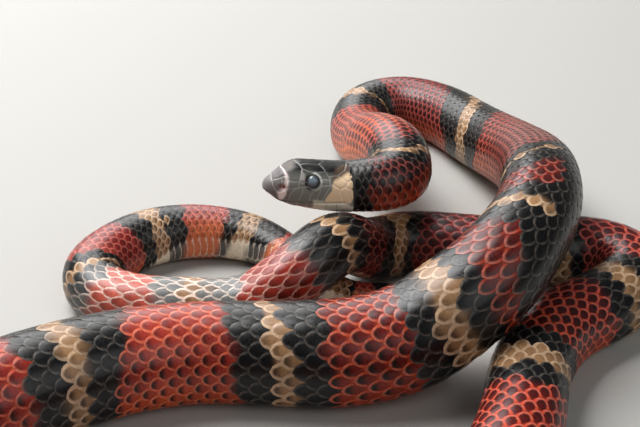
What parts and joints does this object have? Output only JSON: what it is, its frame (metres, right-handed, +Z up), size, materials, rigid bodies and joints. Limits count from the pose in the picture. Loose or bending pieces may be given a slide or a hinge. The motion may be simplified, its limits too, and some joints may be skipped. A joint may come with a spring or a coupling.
{
  "type": "milk snake, life-size model",
  "caption": "Life-size milk snake lying in loose loops, ringed red, black and cream, its head resting over its own coils.",
  "frame": {"origin": "middle of the outline on the floor that the belly rests on", "axes": "+Z up, +X to the right of the side that shows the head, +Y away from that side"},
  "size_m": [0.2932, 0.3068, 0.0491],
  "materials": {
    "scaled_skin": "satin",
    "head_plates": "satin",
    "eye_cap": "gloss"
  },
  "bodies": {
    "root": {"neck": "scaled_skin", "body_01": "scaled_skin", "body_02": "scaled_skin", "body_03": "scaled_skin", "body_04": "scaled_skin", "body_05": "scaled_skin", "body_06": "scaled_skin", "body_07": "scaled_skin", "body_08": "scaled_skin", "body_09": "scaled_skin", "body_10": "scaled_skin", "body_11": "scaled_skin", "body_12": "scaled_skin", "body_13": "scaled_skin", "body_14": "scaled_skin", "body_15": "scaled_skin", "body_16": "scaled_skin", "body_17": "scaled_skin", "tail_01": "scaled_skin", "tail_02": "scaled_skin", "tail_03": "scaled_skin", "tail_tip": "scaled_skin", "head": "head_plates", "eye_left": "eye_cap", "eye_right": "eye_cap"}
  },
  "joints": []
}
